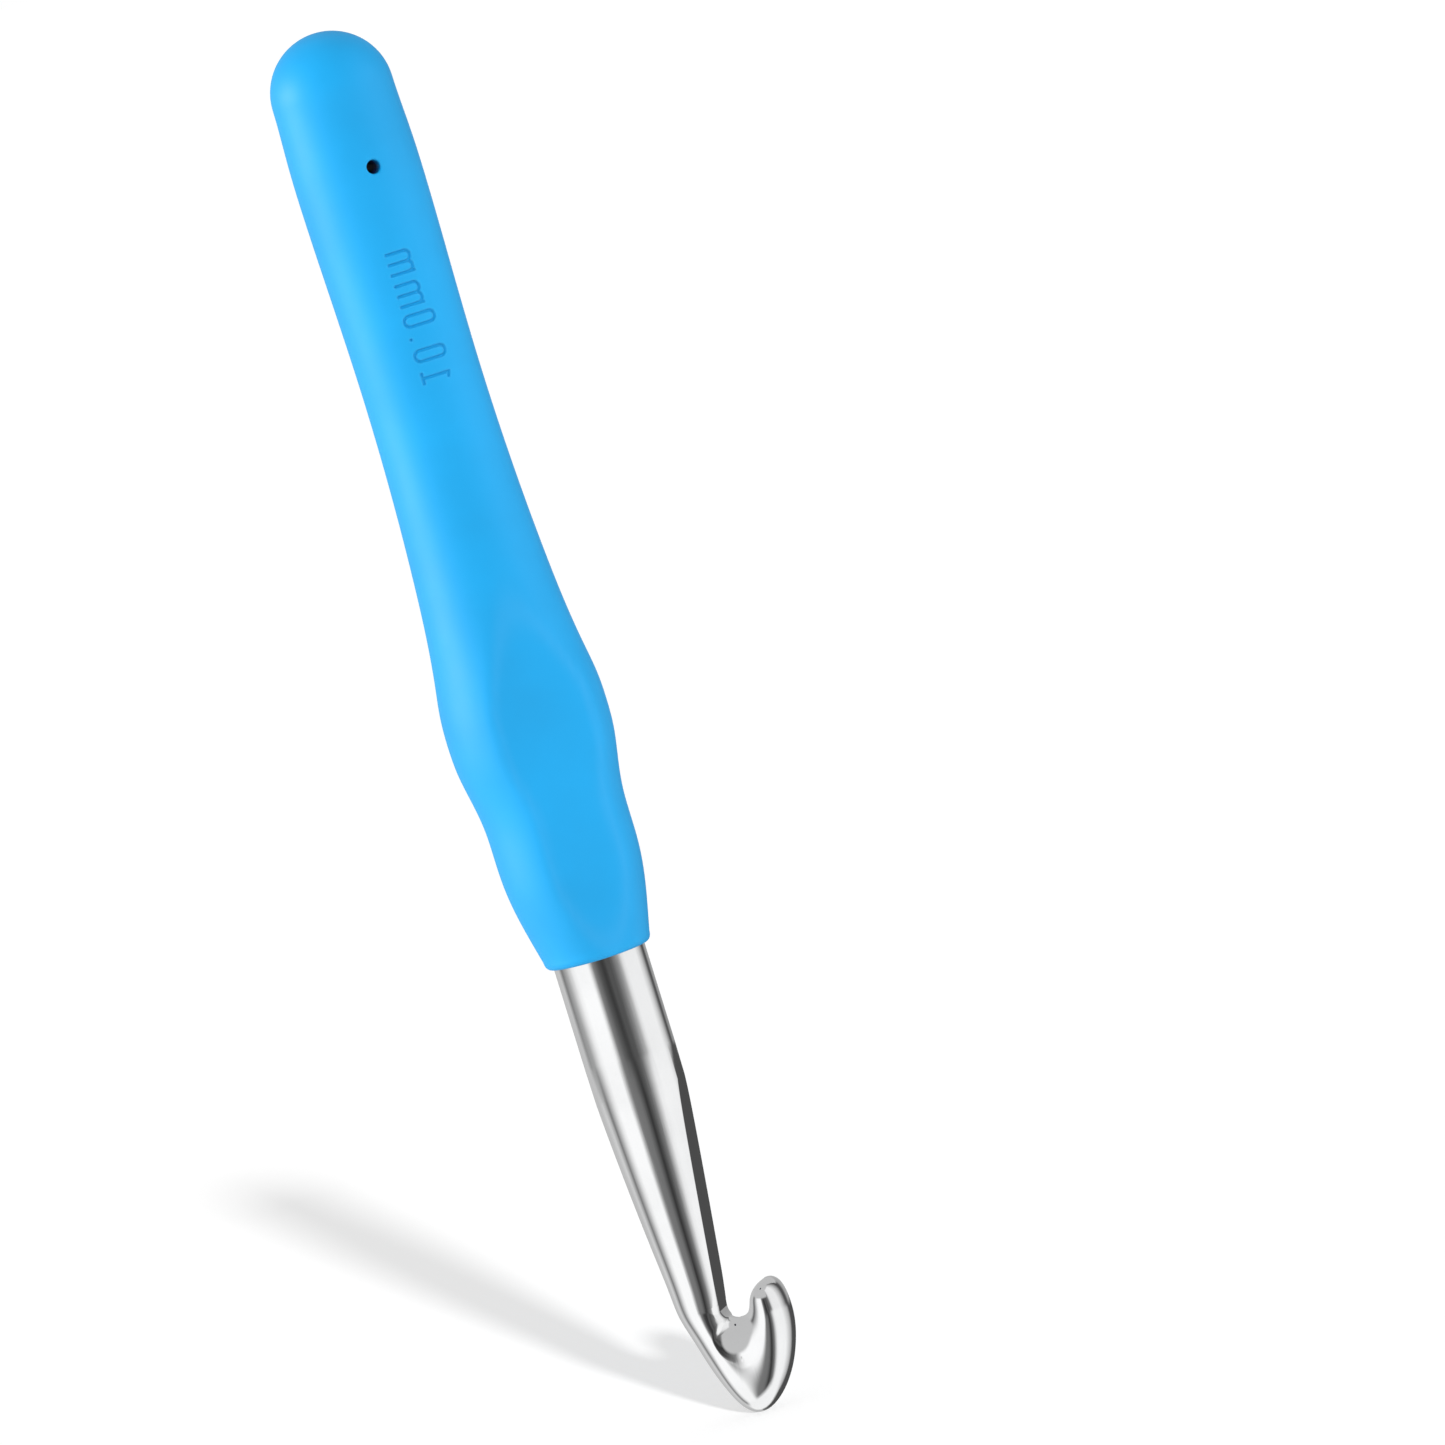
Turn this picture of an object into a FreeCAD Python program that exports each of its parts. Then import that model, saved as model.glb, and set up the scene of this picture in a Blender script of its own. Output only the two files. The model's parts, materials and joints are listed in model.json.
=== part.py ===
import FreeCAD, Part
import math
import os

# Crochet hook, 10 mm: a bright metal hook, a rigid inner handle and a soft grip.
# The hook stands on its tip: +Z runs up the shaft, +X is the side the mouth opens to.

os.makedirs("parts", exist_ok=True)
V = FreeCAD.Vector
doc = FreeCAD.newDocument("crochet_hook")

# ---------------------------------------------------------------- driving sizes, mm and degrees

SIZES = (
    ("shaft_radius", 5.0, "working shaft, the size the hook is sold by"),
    ("throat_top", 38.0, "height where the shaft starts to taper"),
    ("bare_length", 51.5, "tip to the end of the grip"),
    ("seat_top", 62.0, "end of the full diameter inside the handle"),
    ("shoulder", 1.5, "height of the coned shoulder"),
    ("tang_radius", 3.5, "reduced tang"),
    ("tang_top", 96.0, "end of the tang"),
    ("tang_flat", 2.6, "axis to the locking flat on the tang"),
    ("tang_flat_from", 70.0, "lower end of the locking flat"),
    ("tang_flat_length", 20.0, "length of the locking flat"),
    ("facet_low", 1.65, "axis to the throat's flat face at facet_low_z"),
    ("facet_low_z", 12.0, "height that facet_low is measured at"),
    ("facet_rise", 0.123, "how fast the flat face leans outward"),
    ("gullet_radius", 1.43, "rounded bottom of the mouth"),
    ("gullet_z", 11.75, "centre height of that rounding"),
    ("pivot_x", 3.3, "centre that the ribs of the head fan out from"),
    ("pivot_z", 12.2, "its height"),
    ("grip_turn", -58.0, "direction the thumb flat faces, round from the mouth"),
    ("thumb_low", 6.0, "axis to the thumb flat at its lower end"),
    ("thumb_low_z", 52.6, "height of its lower end"),
    ("thumb_tilt", 2.27, "lean of the flat away from the axis"),
    ("skin", 1.6, "wall of the soft grip over the core"),
    ("core_from", 60.0, "lower end of the rigid core"),
    ("ring_height", 0.6, "how far a locking ring stands off the core"),
    ("ring_width", 1.6, "width of a locking ring"),
    ("dome_z", 146.66, "centre height of the domed end"),
    ("dome_radius", 6.54, "radius of the domed end"),
    ("hole_radius", 0.75, "hole for a cord"),
    ("hole_z", 138.2, "height of the hole"),
    ("mark_z", 114.6, "height where the size marking starts"),
    ("mark_height", 3.64, "height of its figures"),
    ("mark_stroke", 0.26, "width of a stroke"),
    ("mark_floor", 6.15, "radius the strokes are sunk to"),
)

sheet = doc.addObject("Spreadsheet::Sheet", "sizes")
for row, (alias, value, note) in enumerate(SIZES, start=1):
    sheet.set(f"A{row}", alias)
    sheet.set(f"B{row}", repr(value))
    sheet.set(f"C{row}", note)
    sheet.setAlias(f"B{row}", alias)
doc.recompute()


def size(alias):
    return float(sheet.get(alias))


# radius of the outside of the grip at heights above its lower end
GRIP_PROFILE = (
    (1.4, 5.98), (3.5, 6.46), (6.7, 7.11), (9.8, 7.49), (13.0, 7.57), (16.2, 7.64),
    (19.4, 8.08), (22.5, 8.60), (25.7, 8.76), (28.9, 8.63), (32.1, 8.18), (36.3, 7.64),
    (42.7, 7.11), (51.1, 6.67), (64.4, 6.43), (74.4, 6.59), (82.9, 6.76), (89.2, 6.73),
)

# throat of the hook: height, radius, shift of the centre towards the mouth
THROAT = (
    (40.0, 4.97, 0.0), (38.0, 4.99, 0.0), (36.5, 4.97, 0.0), (34.5, 4.86, -0.02), (32.0, 4.69, -0.06),
    (29.0, 4.45, -0.12), (26.0, 4.20, -0.17), (23.0, 3.93, -0.22), (20.0, 3.65, -0.26),
    (17.5, 3.41, -0.28), (15.5, 3.22, -0.30), (14.0, 3.10, -0.33),
)

# ribs of the head, fanning about the pivot: direction, distance to the inner end,
# distance to the outer end, half thickness
RIBS = (
    (180.0, 0.75, 6.62, 3.03), (196.0, 1.05, 6.36, 3.08), (210.0, 1.35, 6.50, 3.14),
    (223.0, 1.55, 7.12, 3.20), (236.0, 1.70, 8.25, 3.28), (247.0, 1.80, 9.70, 3.30),
    (256.0, 1.86, 11.35, 3.28), (262.5, 1.88, 12.22, 3.26), (268.5, 1.88, 12.20, 3.26),
    (275.0, 1.88, 11.60, 3.28), (284.0, 1.85, 10.45, 3.34), (296.0, 1.78, 8.95, 3.42),
    (310.0, 1.66, 7.52, 3.46), (325.0, 1.54, 6.53, 3.44), (341.0, 1.50, 5.76, 3.40),
    (356.0, 1.56, 5.32, 3.32), (367.0, 1.78, 5.06, 3.14), (375.0, 2.06, 4.74, 2.76),
    (380.5, 2.44, 4.38, 2.10), (383.0, 2.95, 3.95, 1.10),
)


def bind(obj, **links):
    """Tie properties of an object to cells of the sheet."""
    for path, formula in links.items():
        obj.setExpression(path.replace("__", "."), formula)


def cylinder(name, radius, height, base):
    obj = doc.addObject("Part::Cylinder", name)
    bind(obj, Radius=radius, Height=height, Placement__Base__z=base)
    return obj


def fuse(name, parts):
    obj = doc.addObject("Part::MultiFuse", name)
    obj.Shapes = parts
    return obj


def cut(name, base, tool):
    obj = doc.addObject("Part::Cut", name)
    obj.Base = base
    obj.Tool = tool
    return obj


# ---------------------------------------------------------------- the hook

AROUND = 16


def rib_poles(x, z, dx, dz, half_length, half_width):
    """Poles of one closed rib: rounded ends, flatter sides, drawn in the plane of (dx, dz) and Y."""
    end = min(half_length, half_width)
    swell = 3.0 / (2.0 + math.cos(2.0 * math.pi / AROUND))
    poles = []
    for k in range(AROUND):
        turn = 2.0 * math.pi * k / AROUND
        across = math.cos(turn)
        bow = math.sin(0.5 * math.pi * math.sin(0.5 * math.pi * across))
        along = swell * (end * across + (half_length - end) * bow)
        poles.append(V(x + dx * along, swell * half_width * math.sin(turn), z + dz * along))
    return poles


def head_solid():
    """Throat and head as one closed surface through the ribs, closed by two flat caps."""
    rows = [rib_poles(x, z, -1.0, 0.0, r, r) for z, r, x in THROAT]
    for direction, inner, outer, half_width in RIBS:
        dx = math.cos(math.radians(direction))
        dz = math.sin(math.radians(direction))
        middle = 0.5 * (inner + outer)
        x = size("pivot_x") + dx * middle
        z = size("pivot_z") + dz * middle
        rows.append(rib_poles(x, z, dx, dz, 0.5 * (outer - inner), half_width))
    knots = [float(k) for k in range(len(rows) - 2)]
    mults = [4] + [1] * (len(knots) - 2) + [4]
    around = [float(k) for k in range(AROUND + 1)]
    surface = Part.BSplineSurface()
    surface.buildFromPolesMultsKnots(
        rows, mults, [1] * (AROUND + 1), knots, around, False, True, 3, 3
    )
    side = surface.toShape()
    caps = [
        Part.Face(Part.Wire([surface.uIso(u).toShape()]))
        for u in (knots[0], knots[-1])
    ]
    shell = Part.makeShell([side] + caps)
    shell.sewShape()
    solid = Part.Solid(shell)
    if solid.Volume < 0:
        solid.reverse()
    return solid


head = doc.addObject("Part::Feature", "head")
head.Shape = head_solid()
shaft = cylinder("shaft", "sizes.shaft_radius", "sizes.seat_top - sizes.throat_top", "sizes.throat_top")
shoulder = doc.addObject("Part::Cone", "shoulder")
bind(
    shoulder, Radius1="sizes.shaft_radius", Radius2="sizes.tang_radius",
    Height="sizes.shoulder", Placement__Base__z="sizes.seat_top",
)
tang = cylinder(
    "tang", "sizes.tang_radius", "sizes.tang_top - sizes.seat_top - sizes.shoulder",
    "sizes.seat_top + sizes.shoulder",
)
hook_blank = fuse("hook_blank", [shaft, shoulder, tang, head])

tang_flat = doc.addObject("Part::Box", "tang_flat_cut")
bind(
    tang_flat, Length="2 * sizes.tang_radius", Width="4 * sizes.tang_radius",
    Height="sizes.tang_flat_length", Placement__Base__x="sizes.tang_flat",
    Placement__Base__y="-2 * sizes.tang_radius", Placement__Base__z="sizes.tang_flat_from",
)


def mouth_outline():
    """Side outline of the mouth: the leaning flat of the throat, a round bottom, then clear of the lip."""
    def facet(z):
        return size("facet_low") + size("facet_rise") * (z - size("facet_low_z"))

    r = size("gullet_radius")
    low = size("gullet_z")
    left = facet(low)
    top = size("facet_low_z") + (size("shaft_radius") + 0.2 - size("facet_low")) / size("facet_rise")
    middle = left + r
    clear = 14.3
    a = V(left, 0, low)
    b = V(middle + r, 0, low)
    corners = [b, V(middle + r + 0.45, 0, clear), V(14, 0, clear), V(14, 0, top), V(facet(top), 0, top), a]
    edges = [Part.LineSegment(p, q).toShape() for p, q in zip(corners, corners[1:])]
    edges.append(Part.Arc(a, V(middle, 0, low - r), b).toShape())
    return Part.Wire(Part.__sortEdges__(edges))


mouth_side = doc.addObject("Part::Feature", "mouth_side")
mouth_side.Shape = Part.Face(mouth_outline())
mouth = doc.addObject("Part::Extrusion", "mouth")
mouth.Base = mouth_side
mouth.DirMode = "Custom"
mouth.Dir = V(0, 1, 0)
mouth.Symmetric = True
mouth.Solid = True
bind(mouth, LengthFwd="4 * sizes.shaft_radius")

hook = cut("hook", hook_blank, fuse("hook_cuts", [tang_flat, mouth]))

# ---------------------------------------------------------------- the handle's turned bodies


def turned(name, start, inset):
    """Body turned about the axis: the grip's outline moved inwards by inset, from height start."""
    points = [
        V(r - inset, size("bare_length") + h, 0)
        for h, r in GRIP_PROFILE
        if size("bare_length") + h > start + 1.0
    ]
    dome = size("dome_radius") - inset
    centre = size("dome_z")
    first = points[0]
    corner = min(0.9, 0.6 * (first.y - start))
    lead = (points[1] - points[0]).normalize()
    foot_x = first.x - (first.y - start) * lead.x / lead.y
    points.insert(0, V(foot_x + lead.x / lead.y * corner, start + corner, 0))
    points.append(V(dome, centre, 0))
    curve = Part.BSplineCurve()
    curve.interpolate(Points=points, InitialTangent=lead, FinalTangent=V(0, 1, 0))
    top = V(0, centre + dome, 0)
    slant = V(dome * math.sin(math.pi / 4), centre + dome * math.cos(math.pi / 4), 0)
    body = doc.addObject("PartDesign::Body", name + "_body")
    sketch = body.newObject("Sketcher::SketchObject", name + "_outline")
    sketch.Placement = FreeCAD.Placement(V(0, 0, 0), FreeCAD.Rotation(V(1, 0, 0), 90))
    toe = V(foot_x - corner * 0.8, start, 0)
    bend = V(foot_x - 0.12 * corner, start + 0.28 * corner, 0)
    sketch.addGeometry(curve, False)
    sketch.addGeometry(Part.Arc(points[-1], slant, top), False)
    sketch.addGeometry(Part.LineSegment(top, V(0, start, 0)), False)
    sketch.addGeometry(Part.LineSegment(V(0, start, 0), toe), False)
    sketch.addGeometry(Part.Arc(toe, bend, points[0]), False)
    turn = body.newObject("PartDesign::Revolution", name + "_turn")
    turn.Profile = sketch
    turn.ReferenceAxis = (sketch, ["V_Axis"])
    turn.Angle = 360.0
    body.Tip = turn
    return body


def grip_frame(radial, z, lean=0.0):
    """Placement facing the thumb side: local X outward, local Z up the handle."""
    turn = FreeCAD.Placement(V(0, 0, 0), FreeCAD.Rotation(V(0, 0, 1), size("grip_turn")))
    local = FreeCAD.Placement(V(radial, 0, z), FreeCAD.Rotation(V(0, 1, 0), lean))
    return turn.multiply(local)


def flat_cut(name, deeper, behind):
    """Block that planes off the thumb flat, or the finger flat behind it."""
    width = 30.0
    block = Part.makeBox(8.0, width, 60.0, V(0, -0.5 * width, -8.0))
    obj = doc.addObject("Part::Feature", name)
    obj.Shape = block
    place = grip_frame(size("thumb_low") - deeper, size("thumb_low_z"), size("thumb_tilt"))
    if behind:
        place = FreeCAD.Placement(V(0, 0, 0), FreeCAD.Rotation(V(0, 0, 1), 180)).multiply(place)
    obj.Placement = place
    return obj


cord_hole = doc.addObject("Part::Cylinder", "cord_hole")
bind(cord_hole, Radius="sizes.hole_radius", Height="4 * sizes.dome_radius")
cord_hole.Placement = grip_frame(-2.0 * size("dome_radius"), size("hole_z"), 90.0)

# ---------------------------------------------------------------- core

LOCK_RINGS = (100.0, 112.0, 132.0)  # heights of the locking rings' lower faces

core_turned = turned("core", size("core_from"), size("skin"))
rings = []
for number, height in enumerate(LOCK_RINGS, start=1):
    ring = cylinder(f"lock_ring_{number}", "sizes.dome_radius - sizes.skin + sizes.ring_height",
                    "sizes.ring_width", f"{height}")
    rings.append(ring)
core_blank = fuse("core_blank", [core_turned] + rings)
core_cuts = fuse(
    "core_cuts",
    [flat_cut("core_thumb", size("skin"), False), flat_cut("core_finger", size("skin"), True), cord_hole],
)
core_shaped = cut("core_shaped", core_blank, core_cuts)
core = cut("core", core_shaped, hook)

# ---------------------------------------------------------------- size marking


def stroke(a, b):
    """Straight stroke with round ends between two points given as (along, up)."""
    w = 0.5 * size("mark_stroke")
    run = math.hypot(b[0] - a[0], b[1] - a[1])
    bar = Part.makeBox(3.0, 2 * w, run, V(0, -w, 0))
    turn = math.degrees(math.atan2(b[1] - a[1], b[0] - a[0]))
    ends = [Part.makeCylinder(w, 3.0, V(0, 0, z), V(1, 0, 0)) for z in (0.0, run)]
    shape = bar.fuse(ends)
    shape.Placement = FreeCAD.Placement(V(0, a[1], a[0]), FreeCAD.Rotation(V(1, 0, 0), -turn))
    return shape


def arch(centre, r, towards):
    """Half ring about a centre given as (along, up), on the side it bows to: "up" or "down"."""
    w = 0.5 * size("mark_stroke")
    at = V(0, centre[1], centre[0])
    ring = Part.makeCylinder(r + w, 3.0, at, V(1, 0, 0)).cut(Part.makeCylinder(r - w, 3.0, at, V(1, 0, 0)))
    if towards == "up":
        keep = Part.makeBox(3.0, 2 * r, 4 * r, V(0, centre[1], centre[0] - 2 * r))
    else:
        keep = Part.makeBox(3.0, 2 * r, 4 * r, V(0, centre[1] - 2 * r, centre[0] - 2 * r))
    return ring.common(keep)


def figure_one(middle):
    top = size("mark_height") - 0.42
    foot = 0.25
    return [
        stroke((middle, foot), (middle, top)), stroke((middle - 0.5, foot), (middle + 0.5, foot)),
        stroke((middle, top), (middle - 0.45, top - 0.2)),
    ]


def figure_nought(middle):
    r = 0.57
    low, high = r + 0.12, size("mark_height") - r - 0.12
    sides = [stroke((middle + s * r, low), (middle + s * r, high)) for s in (-1, 1)]
    return sides + [arch((middle, high), r, "up"), arch((middle, low), r, "down")]


def letter_m(middle):
    r = 0.56
    foot, high = 0.3, 2.2
    shapes = [stroke((middle + 2 * r * k, foot), (middle + 2 * r * k, high)) for k in (-1, 0, 1)]
    shapes.append(stroke((middle - 2 * r, high), (middle - 2 * r, high + r)))
    return shapes + [arch((middle + s * r, high), r, "up") for s in (-1, 1)]


marks = figure_one(0.88) + figure_nought(3.24) + [stroke((5.13, 0.28), (5.131, 0.28))]
marks += figure_nought(7.02) + letter_m(9.8) + letter_m(13.23)
marking = doc.addObject("Part::Feature", "marking_strokes")
marking.Shape = marks[0].fuse(marks[1:])
marking.Placement = grip_frame(5.0, size("mark_z")).multiply(
    FreeCAD.Placement(V(0, -0.5 * size("mark_height"), 0), FreeCAD.Rotation())
)
mark_inner = cylinder("marking_floor", "sizes.mark_floor", "30", "sizes.mark_z - 8")
marking_cut = cut("marking_cut", marking, mark_inner)

# ---------------------------------------------------------------- grip

grip_turned = turned("grip", size("bare_length"), 0.0)
grip_cuts = fuse(
    "grip_cuts",
    [flat_cut("thumb_flat", 0.0, False), flat_cut("finger_flat", 0.0, True), cord_hole, marking_cut],
)
grip_shaped = cut("grip_shaped", grip_turned, grip_cuts)
grip_hollow = cut("grip_hollow", grip_shaped, core)
grip = cut("grip", grip_hollow, hook)

# ---------------------------------------------------------------- check and export

doc.recompute()
for obj in doc.Objects:
    if "Invalid" in obj.State or "Error" in obj.State:
        raise RuntimeError(f"{obj.Name} did not recompute: {obj.State}")

for node in (hook, core, grip):
    shape = node.Shape
    if shape.isNull() or not shape.isValid():
        raise RuntimeError(f"{node.Label} has no valid shape")
    if len(shape.Solids) != 1:
        raise RuntimeError(f"{node.Label} has {len(shape.Solids)} solids")
    shape.exportStep(f"parts/{node.Label}.step")
    box = shape.BoundBox
    print(f"{node.Label}: {shape.Volume:.1f} mm3, x {box.XMin:.2f} {box.XMax:.2f},"
          f" y {box.YMin:.2f} {box.YMax:.2f}, z {box.ZMin:.2f} {box.ZMax:.2f}")
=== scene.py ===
"""Crochet hook with a polished metal hook and a soft blue grip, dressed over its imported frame."""

import json
import math

import bpy
import numpy as np
from mathutils import Matrix, Vector


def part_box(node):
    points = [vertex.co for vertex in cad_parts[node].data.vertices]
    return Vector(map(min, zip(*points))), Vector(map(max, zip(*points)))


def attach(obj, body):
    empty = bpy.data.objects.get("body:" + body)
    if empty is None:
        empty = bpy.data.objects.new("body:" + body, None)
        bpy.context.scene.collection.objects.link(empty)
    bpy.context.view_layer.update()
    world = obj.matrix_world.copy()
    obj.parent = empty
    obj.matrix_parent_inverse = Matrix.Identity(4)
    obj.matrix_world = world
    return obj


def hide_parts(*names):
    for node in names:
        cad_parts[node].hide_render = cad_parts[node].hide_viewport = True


bl_info = {
    "name": "Crochet Hook",
    "version": (1, 0, 0),
    "blender": (4, 5, 0),
    "location": "View3D > Sidebar > Crochet Hook",
    "description": "Builds a soft-grip crochet hook and a small studio round it",
    "category": "Object",
}

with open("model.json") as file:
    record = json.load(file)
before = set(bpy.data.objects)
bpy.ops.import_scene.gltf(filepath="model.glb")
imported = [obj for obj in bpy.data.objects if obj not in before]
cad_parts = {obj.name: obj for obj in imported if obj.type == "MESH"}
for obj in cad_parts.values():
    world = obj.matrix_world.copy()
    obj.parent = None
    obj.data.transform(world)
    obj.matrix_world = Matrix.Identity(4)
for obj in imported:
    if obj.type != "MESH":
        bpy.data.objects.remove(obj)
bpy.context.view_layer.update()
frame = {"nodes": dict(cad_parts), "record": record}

MM = 0.001

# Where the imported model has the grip, and the cord hole that faces the same way as the thumb flat.
GRIP_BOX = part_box("grip")
MOUNTS = {mount["name"]: mount for mount in frame["record"]["mounts"]}
HOLE_WAY = MOUNTS["cord_hole"]["axis"]
TURN_GRIP = math.atan2(HOLE_WAY[1], HOLE_WAY[0])

# Throat of the hook: height, radius, shift of the centre towards the mouth.
THROAT = np.array([
    (40.0, 4.97, 0.0), (38.0, 4.99, 0.0), (36.5, 4.97, 0.0), (34.5, 4.86, -0.02), (32.0, 4.69, -0.06),
    (29.0, 4.45, -0.12), (26.0, 4.20, -0.17), (23.0, 3.93, -0.22), (20.0, 3.65, -0.26),
    (17.5, 3.41, -0.28), (15.5, 3.22, -0.30), (14.0, 3.10, -0.33),
])

# Ribs of the head about the pivot: direction, reach to the inner end and to the outer end, half thickness.
PIVOT = np.array([3.3, 12.2])
RIBS = np.array([
    (180.0, 0.75, 6.62, 3.03), (196.0, 1.05, 6.36, 3.08), (210.0, 1.35, 6.50, 3.14),
    (223.0, 1.55, 7.12, 3.20), (236.0, 1.70, 8.25, 3.28), (247.0, 1.80, 9.70, 3.30),
    (256.0, 1.86, 11.35, 3.28), (262.5, 1.88, 12.22, 3.26), (268.5, 1.88, 12.20, 3.26),
    (275.0, 1.88, 11.60, 3.28), (284.0, 1.85, 10.45, 3.34), (296.0, 1.78, 8.95, 3.42),
    (310.0, 1.66, 7.52, 3.46), (325.0, 1.54, 6.53, 3.44), (341.0, 1.50, 5.76, 3.40),
    (356.0, 1.56, 5.32, 3.32), (367.0, 1.78, 5.06, 3.14), (375.0, 2.06, 4.74, 2.76),
    (380.5, 2.44, 4.38, 2.10), (383.0, 2.95, 3.95, 1.10),
])

# Outside of the grip: height over its lower end, radius.
GRIP_PROFILE = np.array([
    (1.4, 5.98), (3.5, 6.46), (6.7, 7.11), (9.8, 7.49), (13.0, 7.57), (16.2, 7.64),
    (19.4, 8.08), (22.5, 8.60), (25.7, 8.76), (28.9, 8.63), (32.1, 8.18), (36.3, 7.64),
    (42.7, 7.11), (51.1, 6.67), (64.4, 6.43), (74.4, 6.59), (82.9, 6.76), (89.2, 6.73), (95.16, 6.54),
])

# The metal hook: poles round a rib, the bare shaft, the throat's leaning flat and the round of the gullet.
AROUND = 16
SHAFT_R = 5.0
SHAFT_TOP, SHAFT_LOW = 53.5, 39.6
FLAT_REACH, FLAT_RISE = 1.65, 0.123
FLAT_LEVEL = 12.0
GULLET_Z = 11.75
GULLET_R = 1.43

# Its hollow sides: reach at the arms, more below the gullet, the way and spread of that, then the half
# thickness at the thin rim, at the rim of the arm under the flat, and at the crease.
HOLLOW_REACH = 1.2
SCOOP = 2.6
SCOOP_WAY, SCOOP_SPREAD = 262.0, 40.0
RIM_THIN, RIM_THICK, HOLLOW_FULL = 0.3, 1.9, 3.75

# Rounding of the hollow's crease, and the heights between which the hollow fades up the arms.
CREASE = 0.22
HOLLOW_NONE, HOLLOW_ALL = 15.5, 12.3

# The mouth's edge: half length of its fillet up the throat and at the gullet, and the heights between which
# it grows.
FILLET_HAIR, FILLET_FULL = 0.07, 1.1
FILLET_HIGH, FILLET_LOW = 15.6, 11.2

# Its grid: rings along the shaft, throat and head, where they start and where the mouth ends on the spline,
# and steps round each ring.
SHAFT_ROWS, THROAT_ROWS, HEAD_ROWS = 26, 150, 262
THROAT_START, HEAD_START, LAST_CUT = 0.9, 10.0, 18.4
ARC_STEPS, FILLET_STEPS, CHORD_STEPS = 68, 12, 12

# The grip: its lower end, dome, cord hole, wall, the flats with their rounding and paler rims, and the
# locking grooves of its lining.
COLLAR_Z = GRIP_BOX[0][2] / MM
COLLAR_WIDE, COLLAR_TALL = 0.62, 0.9
DOME_R = 6.54
DOME_Z = GRIP_BOX[1][2] / MM - DOME_R
HOLE_Z = MOUNTS["cord_hole"]["pos_m"][2] / MM
HOLE_R = MOUNTS["cord_hole"]["dims"]["r_mm"]
HOLE_LIP = 0.2
SKIN = 1.6
THUMB_REACH = 6.0
THUMB_LOW, THUMB_HIGH = 52.6, 95.0
THUMB_LEAN = math.radians(2.27)
FLAT_ROUND, RIM_WIDE = 0.7, 0.30
GROOVES = (132.0, 112.0, 100.0)
GROOVE_TALL, GROOVE_DEEP = 1.6, 0.6
GROOVE_EDGE = 0.001

# Extra heights in the lining, and the line where the grip meets the shaft: radius, height.
LINING_HEIGHTS = (135.0, 129.0, 122.0, 117.0, 106.0, 98.5)
SHAFT_SEAT = np.array([
    (5.0, 60.0), (5.0, 56.0), (5.0, 52.1), (5.0, 51.75), (5.03, 51.62), (5.1, 51.53), (5.2, 51.5),
])

# The size marking: where it starts, how tall its figures are, how far it runs, how deep it is sunk, the
# grip's radius there and the margin beside it. Then how far from a stroke's middle it starts to sink and
# is at full depth, which also spreads the painted shade on the strokes, and the same for the dust it holds.
MARK_Z = 114.6
MARK_TALL = 3.64
MARK_RUN = 15.3
MARK_DEEP = 0.28
MARK_R, MARK_MARGIN = 6.5, 0.38
STROKE_EDGES = (0.19, 0.07)
DUST_EDGES = (0.42, 0.16)

# The grip's grid: columns over the marking and down each side, and the window cut round the cord hole.
FINE = 72
SIDE = 36
WINDOW = 1.3
WINDOW_ROWS = 16
WINDOW_HALF = 20

# Materials: depth of the finest relief in metres, and how rough each surface is when clean.
RELIEF = 0.00002
METAL_ROUGH = 0.07
RUBBER_ROUGH, RUBBER_SHINE = 0.52, 0.36
WHITE = (1.0, 1.0, 1.0, 1.0)

# The studio: the table's height and half size in millimetres, its cells each way and its own glow, and the
# camera's place round the hook, what it aims at beside the collar and the width it takes in, in metres.
TABLE_Z = -0.05
TABLE_HALF, TABLE_CELLS, TABLE_GLOW = 30000.0, 40, 0.31
CAMERA_AZIMUTH = 15.0
CAMERA_ELEVATION = 5.0
AIM_RIGHT, AIM_UP = 0.01970, 0.01964
VIEW_WIDTH = 0.15265
SENSOR = 36.0

# Lamps: name, turn from the camera and height in degrees, strength, spread in degrees, what it lights and
# what shades it.
LAMPS = (
    ("key", 7.0, 24.0, 1.5, 3.0, "whole_hook", None),
    ("left_fill", -86.0, 8.0, 3.5, 40.0, "handle", None),
    ("right_fill", 75.0, 8.0, 0.9, 40.0, "handle", None),
    ("table_light", 10.0, 9.0, 5.9, 2.0, "table", "metal"),
)

# What polished metal sees round it: direction from the camera (degrees, right is positive) and brightness,
# for level reflections and for those that point a little down. Then the brightness of the even light that
# falls on the hook, and of the ceiling it reflects.
STUDIO_LEVEL = (
    (-180, 0.55), (-131, 0.60), (-117, 0.11), (-104, 0.40), (-78, 0.97), (-66, 1.07), (-33, 1.07),
    (-27, 0.66), (-22, 0.23), (-9, 0.06), (2, 0.03), (12, 0.10), (20, 0.07), (42, 0.19), (47, 0.42),
    (52, 0.73), (60, 0.90), (98, 0.92), (113, 0.62), (130, 0.08), (139, 0.09), (148, 0.38), (165, 0.45),
    (180, 0.50),
)
STUDIO_LOW = (
    (-180, 0.50), (-137, 0.57), (-119, 0.69), (-108, 0.45), (-100, 0.20), (-89, 0.52), (-78, 0.86),
    (-68, 1.05), (-36, 1.05), (-27, 0.40), (-22, 0.20), (-8, 0.18), (7, 0.035), (15, 0.09), (26, 0.20),
    (37, 0.60), (46, 0.92), (60, 1.00), (98, 0.97), (125, 0.50), (135, 0.08), (168, 0.07), (180, 0.20),
)
ROOM = 0.55
CEILING = 0.56


# ------------------------------------------------------------------ small numeric helpers


def smooth_step(edge0, edge1, x):
    """0 below edge0, 1 above edge1, with an S-shaped cubic between."""
    t = np.clip((x - edge0) / (edge1 - edge0), 0.0, 1.0)
    return t * t * (3.0 - 2.0 * t)


def soft_min(a, b, k):
    """The lesser of a and b, with the corner between them rounded over a width k."""
    h = np.clip(0.5 + 0.5 * (b - a) / k, 0.0, 1.0)
    return b * (1.0 - h) + a * h - k * h * (1.0 - h)


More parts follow.
